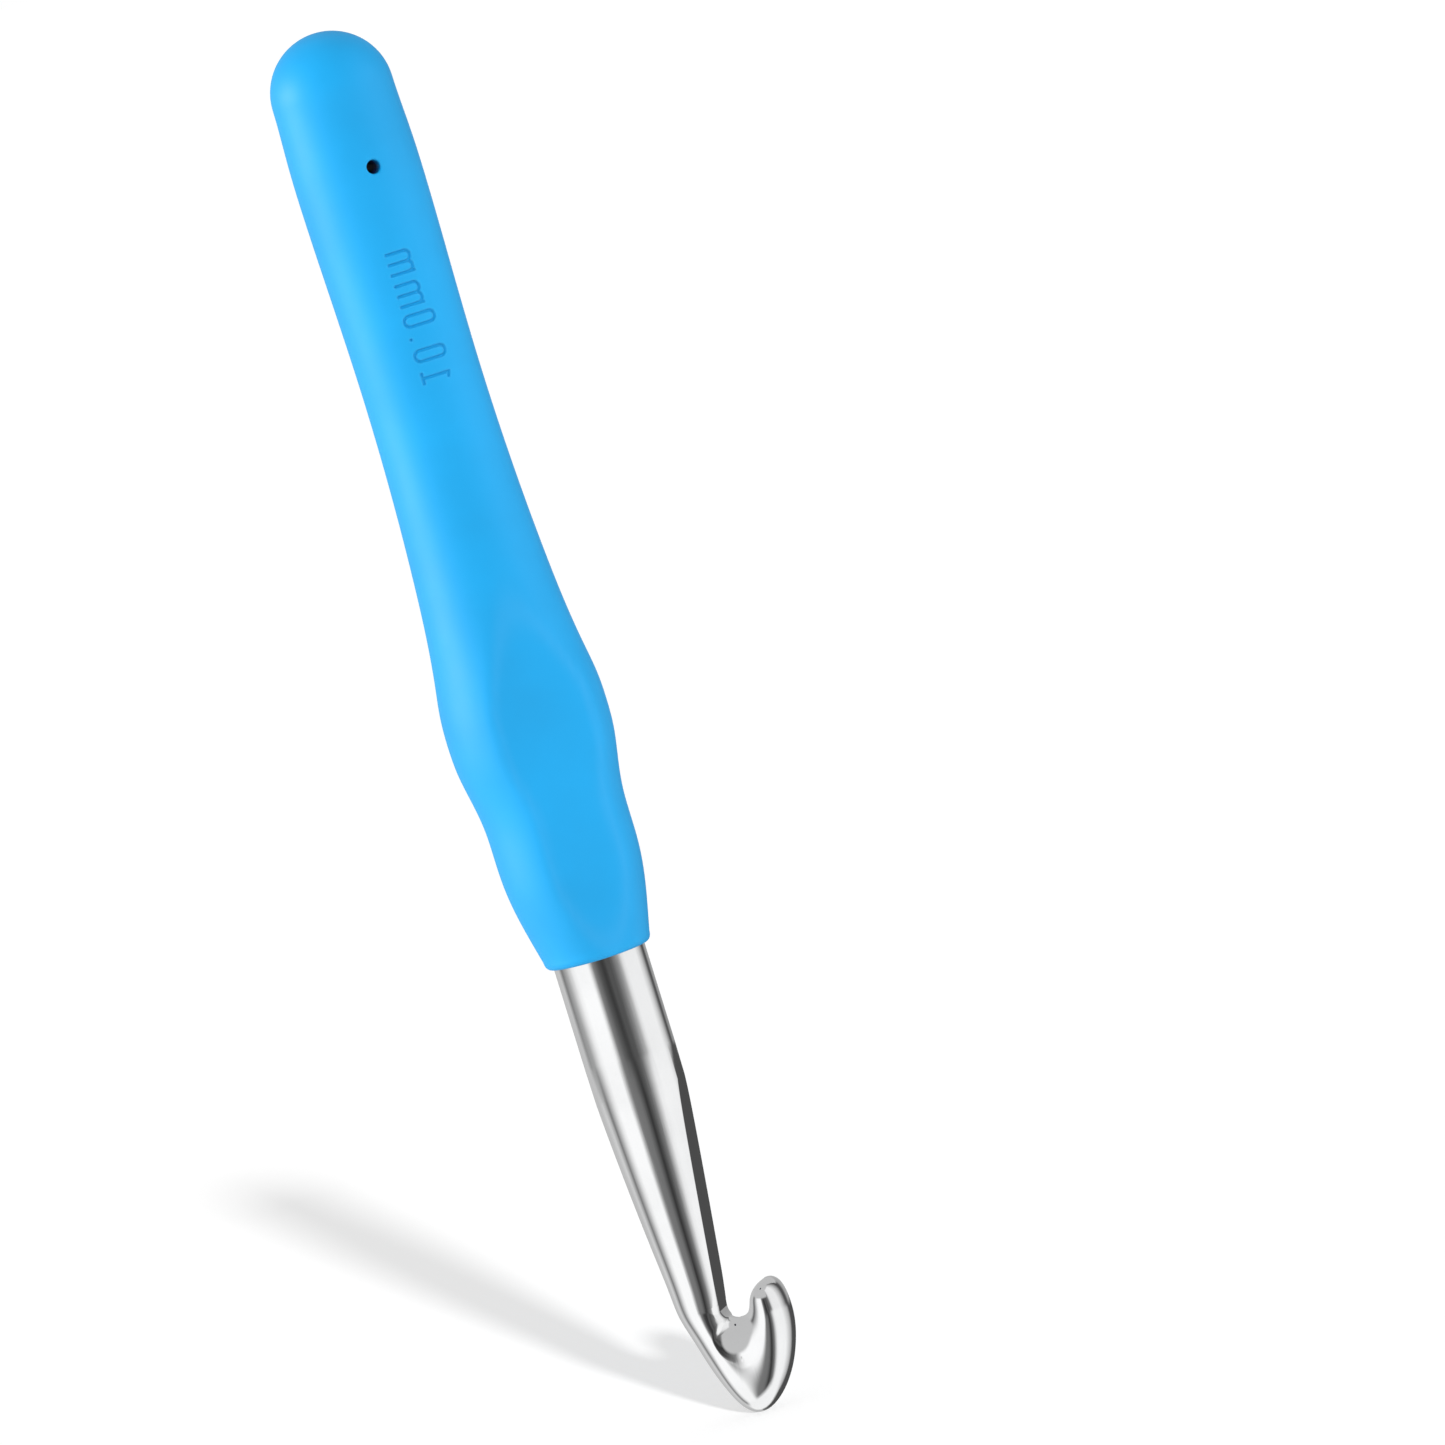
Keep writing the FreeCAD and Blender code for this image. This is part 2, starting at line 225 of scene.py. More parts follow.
def spline_through(xs, ys, x, slope0, slope1):
    """Cubic spline through the points (xs, ys) with the given end slopes, read at x."""
    n = len(xs)
    h = np.diff(xs)
    a = np.zeros((n, n))
    r = np.zeros(n)
    a[0, 0] = a[-1, -1] = 1.0
    r[0], r[-1] = slope0, slope1
    i = np.arange(1, n - 1)
    a[i, i - 1] = 1.0 / h[:-1]
    a[i, i] = 2.0 * (1.0 / h[:-1] + 1.0 / h[1:])
    a[i, i + 1] = 1.0 / h[1:]
    r[i] = 3.0 * ((ys[1:-1] - ys[:-2]) / h[:-1] ** 2 + (ys[2:] - ys[1:-1]) / h[1:] ** 2)
    m = np.linalg.solve(a, r)
    k = np.clip(np.searchsorted(xs, x) - 1, 0, n - 2)
    t = (x - xs[k]) / h[k]
    return (
        (1 + 2 * t) * (1 - t) ** 2 * ys[k] + t * (1 - t) ** 2 * h[k] * m[k]
        + t * t * (3 - 2 * t) * ys[k + 1] + t * t * (t - 1) * h[k] * m[k + 1]
    )


def spread(stops, counts):
    """Values running through the stops with the given number of steps in each gap, no stop repeated."""
    parts = [np.linspace(a, b, n, endpoint=False) for a, b, n in zip(stops[:-1], stops[1:], counts)]
    return np.concatenate(parts + [np.array(stops[-1:])])


def clamped_basis(count, t):
    """Weights of a cubic B-spline, clamped ends and even knots: a row for each t, a column for each pole."""
    knots = np.concatenate([np.zeros(3), np.arange(count - 2), np.full(3, count - 3.0)])
    t = np.clip(t, 0.0, count - 3.0 - 1e-9)[:, None]
    w = ((t >= knots[:-1]) & (t < knots[1:])).astype(float)
    for degree in (1, 2, 3):
        left, right = knots[: -degree - 1], knots[degree + 1:]
        up = np.where(knots[degree:-1] > left, knots[degree:-1] - left, 1.0)
        down = np.where(right > knots[1:-degree], right - knots[1:-degree], 1.0)
        w = (t - left) / up * w[:, :-1] + (right - t) / down * w[:, 1:]
    return w


# ------------------------------------------------------------------ meshes from grids


def grid_faces(rows, cols, closed):
    """Quads of a grid whose columns may close on themselves, as an index array."""
    r = np.arange(rows - 1)[:, None]
    c = np.arange(cols if closed else cols - 1)[None, :]
    n = (c + 1) % cols
    return np.stack(
        [r * cols + c, r * cols + n, (r + 1) * cols + n, (r + 1) * cols + c], axis=-1
    ).reshape(-1, 4)


def make_mesh(name, points, quads, tris=None, values=None):
    """Smooth object from arrays of points in millimetres, quads and triangles, with point attributes."""
    mesh = bpy.data.meshes.new(name)
    sides = [quads.ravel()] + ([tris.ravel()] if tris is not None else [])
    corners = np.concatenate(sides).astype(np.int32)
    counts = np.concatenate(
        [np.full(len(quads), 4)] + ([np.full(len(tris), 3)] if tris is not None else [])
    ).astype(np.int32)
    starts = np.concatenate([[0], np.cumsum(counts)[:-1]]).astype(np.int32)
    mesh.vertices.add(len(points))
    mesh.vertices.foreach_set("co", (points * MM).astype(np.float32).ravel())
    mesh.loops.add(len(corners))
    mesh.loops.foreach_set("vertex_index", corners)
    mesh.polygons.add(len(counts))
    mesh.polygons.foreach_set("loop_start", starts)
    mesh.polygons.foreach_set("loop_total", counts)
    mesh.update(calc_edges=True)
    mesh.validate()
    mesh.polygons.foreach_set("use_smooth", np.ones(len(mesh.polygons), bool))
    for key, data in (values or {}).items():
        layer = mesh.attributes.new(key, "FLOAT", "POINT")
        layer.data.foreach_set("value", data.astype(np.float32).ravel())
    piece = bpy.data.objects.new(name, mesh)
    bpy.context.scene.collection.objects.link(piece)
    return piece


# ------------------------------------------------------------------ shape of the hook


def rib_net():
    """Poles of the throat and head: each rib is a closed ring with rounded ends and flatter sides.

    The throat's ribs lie level; the head's fan out from the pivot. A ring's poles are swollen a little, so
    that the B-spline they steer passes through the ring itself.
    """
    turn = 2.0 * np.pi * np.arange(AROUND) / AROUND
    across = np.cos(turn)
    bow = np.sin(0.5 * np.pi * np.sin(0.5 * np.pi * across))
    swell = 3.0 / (2.0 + np.cos(2.0 * np.pi / AROUND))
    angle = np.radians(RIBS[:, 0])
    ray = np.stack([np.cos(angle), np.sin(angle)], 1)
    centre = np.concatenate([THROAT[:, [2, 0]], PIVOT + ray * 0.5 * (RIBS[:, 1:2] + RIBS[:, 2:3])])
    way = np.concatenate([np.tile([-1.0, 0.0], (len(THROAT), 1)), ray])
    long = np.concatenate([THROAT[:, 1], 0.5 * (RIBS[:, 2] - RIBS[:, 1])])[:, None]
    wide = np.concatenate([THROAT[:, 1], RIBS[:, 3]])[:, None]
    end = np.minimum(long, wide)
    along = swell * (end * across + (long - end) * bow)
    return np.stack([
        centre[:, :1] + way[:, :1] * along, swell * wide * np.sin(turn), centre[:, 1:] + way[:, 1:] * along,
    ], -1)


def round_basis(turn):
    """Weights of the even closed cubic B-spline over the ring's poles, for turns from 0 to 2 pi."""
    d = turn[..., None] * AROUND / (2.0 * np.pi) - np.arange(AROUND)
    d = np.abs((d + AROUND / 2) % AROUND - AROUND / 2)
    return np.where(d < 1, 2 / 3 - d * d + d**3 / 2, np.where(d < 2, (2 - d) ** 3 / 6, 0.0))


def flat_face(z):
    """Distance of the throat's flat from the axis at height z: a straight line leaning outward."""
    return FLAT_REACH + FLAT_RISE * (z - FLAT_LEVEL)


def into_mouth(p):
    """How far a point stands inside the mouth: beyond the flat, or below it inside the gullet's round."""
    x, z = p[..., 0], p[..., 2]
    round_part = GULLET_R - np.hypot(x - flat_face(GULLET_Z) - GULLET_R, z - GULLET_Z)
    return np.where(z > GULLET_Z, x - flat_face(z), round_part)


def scoop(p):
    """Thin the head towards the gullet: a hollow each side that sweeps round the gullet's foot.

    Its half thickness starts at the rim's, which is small but for the arm under the flat, and grows like the
    sine part of an ellipse out to a crease. The crease stands furthest off below the gullet, and draws in
    towards both arms.
    """
    dx, dz = p[..., 0] - flat_face(GULLET_Z) - GULLET_R, p[..., 2] - GULLET_Z
    turn = np.degrees(np.arctan2(dz, dx)) % 360.0
    reach = HOLLOW_REACH + SCOOP * np.exp(-(((turn - SCOOP_WAY) / SCOOP_SPREAD) ** 2))
    u = np.clip((np.hypot(dx, dz) - GULLET_R) / (2.0 * reach), 0.0, 1.0)
    rim = np.maximum(RIM_THIN, RIM_THICK * smooth_step(238.0, 200.0, turn) * (turn > 90.0))
    allowed = rim + (HOLLOW_FULL - rim) * np.sqrt(1.0 - (1.0 - u) ** 2)
    allowed += np.where(u >= 0.5, 4.0 * (u - 0.5), 0.0)
    within = smooth_step(HOLLOW_NONE, HOLLOW_ALL, p[..., 2])
    y = np.abs(p[..., 1])
    thin = np.maximum(soft_min(y, allowed, CREASE), 0.0) * within + y * (1.0 - within)
    thin = np.where(y < 0.02, y, thin)
    return np.stack([p[..., 0], np.copysign(thin, p[..., 1]), p[..., 2]], -1)


def hook_surface():
    """The bare metal as rings from inside the grip, down the shaft and round the head to the lip's top.

    First parameter: along the hook, on a B-spline clamped over the ribs. Second: round each ring, in five
    stretches that meet at the mouth's edges. The outer stretch follows the B-spline. Where a ring runs
    into the mouth, the last stretch is the straight chord between its two edges, and the one between is a
    curve steered by the edge, a hair wide up the throat and growing into a fillet at the gullet. Rings
    that miss the mouth keep to the B-spline. The hollow sides thin a chord evenly over its width.
    """
    net = rib_net()
    count = len(net)
    t = spread([THROAT_START, HEAD_START, count - 3.0], [THROAT_ROWS, HEAD_ROWS - 1])
    rings = np.einsum("tp,pqc->tqc", clamped_basis(count, t), net)

    def at(turn):
        return np.einsum("tuq,tqc->tuc", round_basis(turn), rings)

    low = np.full((len(t), 1), 0.45 * np.pi)
    high = np.full((len(t), 1), np.pi)
    missed = (into_mouth(at(high)) <= 0.0) | (t[:, None] > LAST_CUT)
    for _ in range(30):
        middle = 0.5 * (low + high)
        inside = into_mouth(at(middle)) > 0.0
        high, low = np.where(inside, middle, high), np.where(inside, low, middle)
    edge_turn = np.where(missed, np.pi, 0.5 * (low + high))
    edge = at(edge_turn)
    height = edge[:, 0, 2][:, None]
    grown = np.where(t[:, None] > 11.0, 1.0, smooth_step(FILLET_HIGH, FILLET_LOW, height))
    fillet = FILLET_HAIR + (FILLET_FULL - FILLET_HAIR) * grown
    start = np.minimum(edge_turn, np.pi - 0.10) - fillet / 4.2
    u = np.linspace(0.0, 1.0, ARC_STEPS + 1)[None, :]
    outer = at(start * (1 - (1 - u) ** 1.15))
    first = outer[:, -1:]
    v = np.linspace(0.0, 1.0, FILLET_STEPS + 1)[None, 1:, None]
    chord_in = edge.copy()
    chord_in[..., 1] *= 1.0 - np.minimum(0.8, fillet / np.maximum(edge[..., 1], 0.05) * 0.55)
    bend = (1 - v) ** 2 * first + 2 * v * (1 - v) * edge + v * v * chord_in
    w = np.linspace(1.0, 0.0, CHORD_STEPS + 1)[None, 1:, None]
    chord = chord_in * np.array([1.0, 0.0, 1.0]) + w * chord_in * np.array([0.0, 1.0, 0.0])
    cut = np.concatenate([bend, chord], 1)
    k = np.linspace(0.0, 1.0, FILLET_STEPS + CHORD_STEPS + 1)[None, 1:]
    whole = at(start + (np.pi - start) * k)
    share = smooth_step(0.12, 0.55, edge[..., 1:2])
    plain = np.concatenate([outer, whole + (cut - whole) * share], 1)
    half = scoop(plain)
    thinned = half[:, -CHORD_STEPS - 1, 1] / np.maximum(plain[:, -CHORD_STEPS - 1, 1], 1e-6)
    chord_y = plain[:, -CHORD_STEPS:, 1] * thinned[:, None]
    half[:, -CHORD_STEPS:, 1] += (chord_y - half[:, -CHORD_STEPS:, 1]) * share[:, :, 0]
    mirror = half[:, -2:0:-1] * np.array([1.0, -1.0, 1.0])
    head = np.concatenate([half, mirror], 1)
    cols = head.shape[1]
    z = np.linspace(SHAFT_TOP, SHAFT_LOW, SHAFT_ROWS, endpoint=False)[:, None, None]
    circle = head[:1, :, :2] * SHAFT_R / np.hypot(head[:1, :, :1], head[:1, :, 1:2])
    shaft = np.concatenate([
        np.broadcast_to(circle, (SHAFT_ROWS, cols, 2)), np.broadcast_to(z, (SHAFT_ROWS, cols, 1)),
    ], -1)
    return np.concatenate([shaft, head])


def build_hook():
    """Points, quads and closing fans of the metal hook: its rings, a low crown on the lip, a centre above."""
    skin = hook_surface()
    rows, cols = skin.shape[:2]
    quads = grid_faces(rows, cols, True)
    tip = 1.35 * skin[-1].mean(0) - 0.35 * skin[-2].mean(0)
    points = np.concatenate([skin.reshape(-1, 3), tip[None], skin[0].mean(0)[None]])
    last = (rows - 1) * cols + np.arange(cols)
    first = np.arange(cols)
    caps = np.concatenate([
        np.stack([last, np.roll(last, -1), np.full(cols, rows * cols)], 1),
        np.stack([np.roll(first, -1), first, np.full(cols, rows * cols + 1)], 1),
    ])
    return points, quads, caps


# ------------------------------------------------------------------ shape of the grip


def stroke_gap(a, b, p, q):
    """Distance from the points (a, b) to the straight stroke between p and q."""
    p, q = np.array(p, float), np.array(q, float)
    d = q - p
    t = np.clip(((a - p[0]) * d[0] + (b - p[1]) * d[1]) / max(d @ d, 1e-9), 0.0, 1.0)
    return np.hypot(a - p[0] - t * d[0], b - p[1] - t * d[1])


def arch_gap(a, b, centre, r, side):
    """Distance to a half ring about a centre, above it for side 1 and below for side -1."""
    da, db = a - centre[0], (b - centre[1]) * side
    ring = np.abs(np.hypot(da, db) - r)
    ends = np.minimum(np.hypot(da - r, db), np.hypot(da + r, db))
    return np.where(db >= 0, ring, ends)


def figure_one(a, b, middle):
    """Distance to the strokes of a 1: stem, foot and flag."""
    foot, top = 0.25, MARK_TALL - 0.42
    return np.minimum.reduce([
        stroke_gap(a, b, (middle, foot), (middle, top)),
        stroke_gap(a, b, (middle - 0.5, foot), (middle + 0.5, foot)),
        stroke_gap(a, b, (middle, top), (middle - 0.45, top - 0.2)),
    ])


def figure_nought(a, b, middle):
    """Distance to the strokes of a 0: two sides joined by half rings."""
    r = 0.57
    low, high = r + 0.12, MARK_TALL - r - 0.12
    return np.minimum.reduce([
        stroke_gap(a, b, (middle - r, low), (middle - r, high)),
        stroke_gap(a, b, (middle + r, low), (middle + r, high)),
        arch_gap(a, b, (middle, high), r, 1), arch_gap(a, b, (middle, low), r, -1),
    ])


def letter_m(a, b, middle):
    """Distance to the strokes of an m: three stems under two half rings, with a spur on the first."""
    r, foot, high = 0.56, 0.3, 2.2
    places = [middle + 2 * r * k for k in (-1, 0, 1)]
    stems = [stroke_gap(a, b, (place, foot), (place, high)) for place in places]
    arches = [arch_gap(a, b, (middle + r * k, high), r, 1) for k in (-1, 1)]
    spur = stroke_gap(a, b, (places[0], high), (places[0], high + r))
    return np.minimum.reduce(stems + arches + [spur])


def decimal_point(a, b, middle):
    """Distance to the point, a very short stroke."""
    return stroke_gap(a, b, (middle, 0.28), (middle + 0.001, 0.28))


def marking_gap(a, b):
    """Distance to the nearest stroke of the size marking, a along the reading line and b up the figures."""
    return np.minimum.reduce([glyph(a, b, middle) for glyph, middle in (
        (figure_one, 0.88), (figure_nought, 3.24), (decimal_point, 5.13),
        (figure_nought, 7.02), (letter_m, 9.8), (letter_m, 13.23),
    )])


def grip_radius(h):
    """Outside radius at a height over the grip's lower end: a cubic spline, straight below its start."""
    heights, radii = GRIP_PROFILE.T
    slope = (radii[1] - radii[0]) / (heights[1] - heights[0])
    r = spline_through(heights, radii, np.maximum(h, heights[0]), slope, 0.0)
    return np.where(h < heights[0], radii[0] + slope * (h - heights[0]), r)


def grip_line():
    """Outline of the grip's wall: radius, height, and 1 where it is the lining over the core.

    It starts at the top of the lining's dome, runs down the core with its three locking grooves, in to the
    shaft, out round the collar's corner, up the outside and over the dome.
    """
    v = np.linspace(0.0, np.pi / 2, 14)[1:]
    r = DOME_R - SKIN
    lining_dome = np.stack([r * np.sin(v), DOME_Z + r * np.cos(v)], 1)
    steps = (GROOVE_TALL, GROOVE_TALL - GROOVE_EDGE, GROOVE_EDGE, 0.0)
    grooves = [base + step for base in GROOVES for step in steps]
    z = np.concatenate([
        spread([DOME_Z, HOLE_Z + WINDOW], [3])[1:-1],
        np.linspace(HOLE_Z + WINDOW, HOLE_Z - WINDOW, WINDOW_ROWS + 1),
        np.linspace(97.0, 60.0, 16), grooves, LINING_HEIGHTS,
    ])
    z = np.sort(z)[::-1]
    r = grip_radius(z - COLLAR_Z) - SKIN
    in_groove = np.zeros(len(z), bool)
    for base in GROOVES:
        in_groove |= (z > base + 0.5 * GROOVE_EDGE) & (z < base + GROOVE_TALL - 0.5 * GROOVE_EDGE)
    r = np.where(in_groove, np.maximum(r, DOME_R - SKIN + GROOVE_DEEP), r)
    lining = np.stack([r, z], 1)
    mark, hole = MARK_Z - COLLAR_Z, HOLE_Z - COLLAR_Z
    stops = [
        COLLAR_TALL, 10.0, 40.0, mark - 0.3, mark + MARK_RUN + 0.1, hole - WINDOW, hole + WINDOW,
        DOME_Z - COLLAR_Z,
    ]
    h = spread(stops, [18, 56, 32, 236, 10, WINDOW_ROWS, 12])
    foot = float(grip_radius(np.array([COLLAR_TALL]))[0])
    u = np.linspace(0.0, np.pi / 2, 9)[:-1]
    corner = np.stack([
        foot - COLLAR_WIDE * (1.0 - np.sin(u)), COLLAR_Z + COLLAR_TALL * (1.0 - np.cos(u)),
    ], 1)
    side = np.stack([grip_radius(h), COLLAR_Z + h], 1)
    v = np.linspace(0.0, np.pi / 2, 26)[1:-1]
    dome = np.stack([DOME_R * np.cos(v), DOME_Z + DOME_R * np.sin(v)], 1)
    line = np.concatenate([lining_dome, lining, SHAFT_SEAT, corner, side, dome])
    inner = np.arange(len(line)) < len(lining_dome) + len(lining)
    return line, inner


def grip_turns():
    """Angles round the grip: close together about its front and its back, wider between."""
    arc = (MARK_TALL / 2 + MARK_MARGIN) / MARK_R
    back = arc * 2 * WINDOW_HALF / FINE
    stops = [-arc, arc, np.pi - back, np.pi + back, 2 * np.pi - arc]
    return spread(stops, [FINE, SIDE, 2 * WINDOW_HALF, SIDE])[:-1]


def grip_skin(line, inner, phi):
    """The soft grip as a skin over its outline and the angle round the axis.

    The outline gives the radius. Each flat is a leaning plane: its reach along a ray is its distance over
    the cosine of the ray's angle from its facing, and the lesser reach wins, with the corner rounded. The
    size marking is sunk by a smooth step of the distance to its strokes. Returns the points and how far
    each is sunk (also the share of painted shade on the strokes), dusty and on a flat's edge, from 0 to 1.
    """
    r0, z = line[:, 0][:, None], line[:, 1][:, None]
    phi = phi[None, :]
    lining = inner[:, None]
    reach = THUMB_REACH + math.tan(THUMB_LEAN) * (z - THUMB_LOW) - np.where(lining, SKIN, 0.0)
    r = np.broadcast_to(r0, (len(line), phi.size)).copy()
    edge = np.zeros_like(r)
    off_the_shaft = ((z > 52.0) | (r0 > 5.6)) & (r0 > 5.3)
    cut = off_the_shaft & (z < THUMB_HIGH)
    for facing in (0.0, np.pi):
        away = np.cos(phi - facing)
        plane = np.where(away > 0.2, reach / np.maximum(away, 0.2), 99.0)
        edge = np.maximum(edge, np.exp(-((plane - r0) / RIM_WIDE) ** 2) * cut * ~lining)
        r = np.where(cut, soft_min(r, plane, FLAT_ROUND), r)
    side = np.sin(phi) * r
    gap = marking_gap(z - MARK_Z, MARK_TALL / 2 + side)
    near = (z > MARK_Z - 0.2) & (z < MARK_Z + MARK_RUN) & (np.cos(phi) > 0) & ~lining
    # How far each point is sunk, which is also the share of painted shade the material puts on the marking's
    # strokes.
    sunk = smooth_step(*STROKE_EDGES, gap) * near
    r = r - MARK_DEEP * sunk
    dust = smooth_step(*DUST_EDGES, gap) * near
    skin = np.stack([r * np.cos(phi), r * np.sin(phi), np.broadcast_to(z, r.shape)], -1)
    return skin, sunk, dust, edge


def window_border(low, high, left, right, cols):
    """Vertices round a window in the grid, lower left corner first, in the direction of growing angle."""
    step = 1 if high > low else -1
    up = np.arange(low, high, step)
    along = np.arange(left, right)
    return np.concatenate([
        low * cols + along, up * cols + right, high * cols + along[::-1] + 1, (up[::-1] + step) * cols + left,
    ])


def hole_rings(border, face):
    """Rings from a window's border in to the cord hole, on the outer face (face 1) or the lining (face 0).

    Each ring is the border drawn towards a circle about the hole; its depth is that of the turned wall. On
    the outer face the last rings roll over the hole's rounded lip.
    """
    sign = np.sign(border[:, 0].mean())
    turn = np.arctan2(border[:, 2] - HOLE_Z, border[:, 1])
    lip = HOLE_LIP if face else 0.0
    rings = []
    rolls = (30, 60, 90) if face else ()
    for t, degrees in [(0.3, 0), (0.6, 0), (0.85, 0), (1.0, 0)] + [(1.0, angle) for angle in rolls]:
        roll = math.radians(degrees)
        rho = HOLE_R + lip * (1.0 - math.sin(roll))
        y = (1 - t) * border[:, 1] + t * rho * np.cos(turn)
        z = (1 - t) * border[:, 2] + t * (HOLE_Z + rho * np.sin(turn))
        wall = grip_radius(z - COLLAR_Z) - (0.0 if face else SKIN)
        x = sign * (np.sqrt(wall**2 - y**2) - lip * (1.0 - math.cos(roll)))
        rings.append(np.stack([x, y, z], 1))
    return rings


def build_grip():
    """Points, quads, closing fans and point values of the grip: its skin, with the cord hole let in twice.

    Where the hole passes, a window of cells is left out of the outer face and of the lining, and strips run
    from one window's border in to the hole, through the wall and out to the other border.
    """
    line, inner = grip_line()
    phi = grip_turns()
    skin, sunk, dust, edge = grip_skin(line, inner, phi)
    rows, cols = skin.shape[:2]
    points = [skin.reshape(-1, 3)]
    quads = grid_faces(rows, cols, True)
    strips = []
    z = line[:, 1]
    keep = np.ones(len(quads), bool)
    cell_row, cell_col = np.divmod(np.arange(len(quads)), cols)
    count = rows * cols
    for middle in (FINE // 2, FINE + SIDE + WINDOW_HALF):
        left, right = middle - WINDOW_HALF, middle + WINDOW_HALF
        chain = []
        for part in (False, True):
            near_hole = (np.abs(z - HOLE_Z) < WINDOW + 0.01) & (line[:, 0] > 4.0)
            own = np.where((inner == (not part)) & near_hole)[0]
            low, high = own[np.argmin(z[own])], own[np.argmax(z[own])]
            in_rows = (cell_row >= min(low, high)) & (cell_row < max(low, high))
            keep &= ~(in_rows & (cell_col >= left) & (cell_col < right))
            border = window_border(low, high, left, right, cols)
            rings = hole_rings(skin.reshape(-1, 3)[border], int(part))
            ids = [border]
            for ring in rings:
                ids.append(count + np.arange(len(ring)))
                points.append(ring)
                count += len(ring)
            chain.append(ids)
        chain = chain[1] + chain[0][::-1]
        for a, b in zip(chain[:-1], chain[1:]):
            strips.append(np.stack([a, np.roll(a, -1), np.roll(b, -1), b], 1))
    quads = np.concatenate([quads[keep]] + strips)
    poles = np.array([[0.0, 0.0, DOME_Z + DOME_R - SKIN], [0.0, 0.0, DOME_Z + DOME_R]])
    points.append(poles)
    first, last = np.arange(cols), (rows - 1) * cols + np.arange(cols)
    caps = np.concatenate([
        np.stack([np.roll(first, -1), first, np.full(cols, count)], 1),
        np.stack([last, np.roll(last, -1), np.full(cols, count + 1)], 1),
    ])
    flat = np.concatenate(points)
    c, s = math.cos(TURN_GRIP), math.sin(TURN_GRIP)
    turned = np.stack([c * flat[:, 0] - s * flat[:, 1], s * flat[:, 0] + c * flat[:, 1], flat[:, 2]], 1)
    fill = np.zeros(len(flat) - rows * cols)
    # The sunk share carries the painted shade of the marking's strokes into the material.
    values = {"sunk": sunk, "dust": dust, "edge": edge}
    return turned, quads, caps, {name: np.concatenate([v.ravel(), fill]) for name, v in values.items()}


# ------------------------------------------------------------------ materials


def wire(tree, a, b):
    """Link the output a to the input b."""
    tree.links.new(a, b)


def group_base(name, numbers, results):
    """An empty node group: a vector and named numbers in, named results out."""
    group = bpy.data.node_groups.new(name, "ShaderNodeTree")
    group.interface.new_socket(name="Vector", in_out="INPUT", socket_type="NodeSocketVector")
    for label, value in numbers.items():
        given = group.interface.new_socket(name=label, in_out="INPUT", socket_type="NodeSocketFloat")
        given.default_value = value
    for label in results:
        group.interface.new_socket(name=label, in_out="OUTPUT", socket_type="NodeSocketFloat")
    return group, group.nodes.new("NodeGroupInput").outputs, group.nodes.new("NodeGroupOutput").inputs


def set_or_wire(tree, slot, value):
    """Give an input a constant, or link it to another node's output."""
    if isinstance(value, (int, float, tuple)):
        slot.default_value = value
    else:
        wire(tree, value, slot)


def math_node(tree, operation, a, b):
    """Result of a sum or function of the two values."""
    node = tree.nodes.new("ShaderNodeMath")
    node.operation = operation
    set_or_wire(tree, node.inputs[0], a)
    set_or_wire(tree, node.inputs[1], b)
    return node.outputs[0]


def noise_node(tree, vector, scale, detail=3.0, roughness=0.5):
    """Noise from 0 to 1 over the vector."""
    node = tree.nodes.new("ShaderNodeTexNoise")
    wire(tree, vector, node.inputs["Vector"])
    set_or_wire(tree, node.inputs["Scale"], scale)
    node.inputs["Detail"].default_value = detail
    node.inputs["Roughness"].default_value = roughness
    return node.outputs["Fac"]


def remap(tree, value, a, b, c, d):
    """The value carried from the range a to b over to the range c to d, and held there."""
    node = tree.nodes.new("ShaderNodeMapRange")
    wire(tree, value, node.inputs["Value"])
    for label, number in zip(("From Min", "From Max", "To Min", "To Max"), (a, b, c, d)):
        node.inputs[label].default_value = number
    return node.outputs["Result"]


def grain_group():
    """Fine grain: a height from noise at two sizes, and a slow mottle from 0 to 1."""
    group, given, made = group_base("Fine grain", {"Size": 2500.0, "Mottle size": 90.0}, ("Height", "Mottle"))
    fine = noise_node(group, given["Vector"], given["Size"], 2.0)
    coarse = noise_node(group, given["Vector"], math_node(group, "MULTIPLY", given["Size"], 0.31), 2.0)
    wire(group, math_node(group, "ADD", fine, coarse), made["Height"])
    wire(group, noise_node(group, given["Vector"], given["Mottle size"], 4.0), made["Mottle"])
    return group


def handling_group():
    """Marks of handling: soft cloudy smears and a few fine lines, each from 0 to 1."""
    group, given, made = group_base(
        "Handling marks", {"Smear size": 120.0, "Line size": 900.0}, ("Smears", "Lines")
    )
    cloud = noise_node(group, given["Vector"], given["Smear size"], 5.0, 0.6)
    wire(group, remap(group, cloud, 0.45, 0.7, 0.0, 1.0), made["Smears"])
    lines = noise_node(group, given["Vector"], given["Line size"], 2.0, 0.4)
    wire(group, remap(group, lines, 0.58, 0.72, 0.0, 1.0), made["Lines"])
    return group


def new_material(name):
    """A material with its node tree, its shader and the object's own coordinates."""
    mat = bpy.data.materials.new(name)
    mat.use_nodes = True
    tree = mat.node_tree
    shader = tree.nodes["Principled BSDF"]
    coords = tree.nodes.new("ShaderNodeTexCoord").outputs["Object"]
    return mat, tree, shader, coords


def use_group(tree, group, vector, **values):
    """Outputs of a node group over the vector, with its numbers set by name."""
    node = tree.nodes.new("ShaderNodeGroup")
    node.node_tree = group
    wire(tree, vector, node.inputs["Vector"])
    for key, value in values.items():
        node.inputs[key.replace("_", " ")].default_value = value
    return node.outputs


def stretched(tree, vector, scale):
    """The vector times a scale for each axis."""
    node = tree.nodes.new("ShaderNodeMapping")
    wire(tree, vector, node.inputs["Vector"])
    node.inputs["Scale"].default_value = scale
    return node.outputs["Vector"]


def blend_colour(tree, fac, a, b):
    """Colour a where the mask is 0, colour b where it is 1."""
    node = tree.nodes.new("ShaderNodeMix")
    node.data_type = "RGBA"
    wire(tree, fac, node.inputs[0])
    set_or_wire(tree, node.inputs[6], a)
    set_or_wire(tree, node.inputs[7], b)
    return node.outputs[2]


def shade(colour, share, lift=0.0):
    """A share of the colour, lifted by a little white."""
    return tuple(min(1.0, v * share + lift) for v in colour) + (1.0,)


